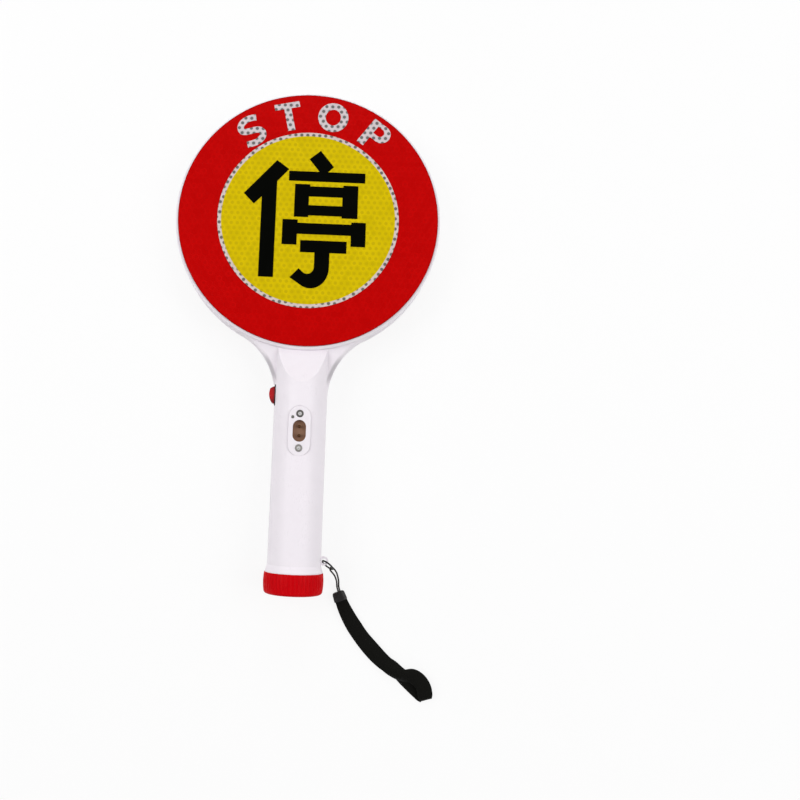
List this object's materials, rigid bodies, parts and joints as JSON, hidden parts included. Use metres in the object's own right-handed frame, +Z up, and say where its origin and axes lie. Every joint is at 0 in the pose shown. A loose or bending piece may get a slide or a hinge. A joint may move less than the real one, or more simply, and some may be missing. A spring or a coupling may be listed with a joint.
{
  "type": "hand-held stop sign paddle",
  "caption": "Round two-sided stop paddle with a hollow grip, charging socket, rocker switch, ribbed screw cap and wrist strap.",
  "frame": {"origin": "on the surface the paddle lies on, under the middle of its box without the wrist strap", "axes": "+Z up through the front face, +Y from the grip's cap to the top of the head, +X to the side of the strap's ear"},
  "size_m": [0.1866, 0.4125, 0.0418],
  "materials": {
    "shell_white": "smooth moulded, satin gloss",
    "board_red": "reflective sheeting under a clear gloss face",
    "film_white": "reflective sheeting with small cells",
    "film_yellow": "reflective sheeting with small cells",
    "cap_red": "moulded, ribbed, satin gloss",
    "switch_black": "fine moulded texture",
    "rocker_red": "smooth moulded gloss",
    "socket_brown": "moulded",
    "pin_brass": "turned",
    "screw_steel": "plated",
    "lamp_lens": "clear moulded",
    "board_green": "solder mask",
    "chip_black": "moulded",
    "lamp_yellow": "potted",
    "cell_sleeve": "shrink sleeve",
    "contact_nickel": "nickel plated",
    "seal_rubber": "moulded",
    "lead_red": "smooth insulation",
    "ring_black": "blackened wire",
    "cord_black": "braided",
    "webbing_black": "woven webbing",
    "ferrule_black": "moulded"
  },
  "bodies": {
    "root": {"front_shell": "shell_white", "rear_shell": "shell_white", "shell_screws": "screw_steel", "front_face_board": "board_red", "front_white_film": "film_white", "front_yellow_film": "film_yellow", "rear_face_board": "board_red", "rear_white_film": "film_white", "rear_yellow_film": "film_yellow", "led_board": "board_green", "leds": "lamp_yellow", "charge_plate": "shell_white", "charge_plate_screws": "screw_steel", "charge_socket": "socket_brown", "charge_pins": "pin_brass", "charge_indicator": "lamp_lens", "switch_housing": "switch_black", "switch_terminals": "pin_brass", "battery_cell": "cell_sleeve", "cell_plate": "contact_nickel", "return_strip": "contact_nickel", "control_board": "board_green", "control_parts": "chip_black", "led_leads": "lead_red", "switch_leads": "lead_red", "socket_leads": "lead_red", "cell_lead": "lead_red", "strap_ring": "ring_black", "strap_cord": "cord_black", "strap_ferrule": "ferrule_black", "strap_webbing": "webbing_black"},
    "cap_carrier": {"cap_seal": "seal_rubber", "cap_contact": "contact_nickel"},
    "screw_cap": {"end_cap": "cap_red"},
    "rocker": {"switch_rocker": "rocker_red"}
  },
  "joints": [
    {"name": "cap_travel", "type": "slide", "parent": "root", "child": "cap_carrier", "axis": [0, -0.9994, 0.0348], "range_m": [0, 0.0075]},
    {"name": "cap_turn", "type": "hinge", "parent": "cap_carrier", "child": "screw_cap", "pos_m": [0, -0.16974, 0.02236], "axis": [0, -0.9994, 0.0348], "range_deg": [0, 1080]},
    {"name": "power_rocker", "type": "hinge", "parent": "root", "child": "rocker", "pos_m": [-0.0164, -0.04032, 0.01785], "axis": [0, -0.0348, -0.9994], "range_deg": [0, 16]}
  ],
  "couplings": [
    {"joint": "cap_turn", "follows": "cap_travel", "rad_per_m": 2513.3}
  ]
}
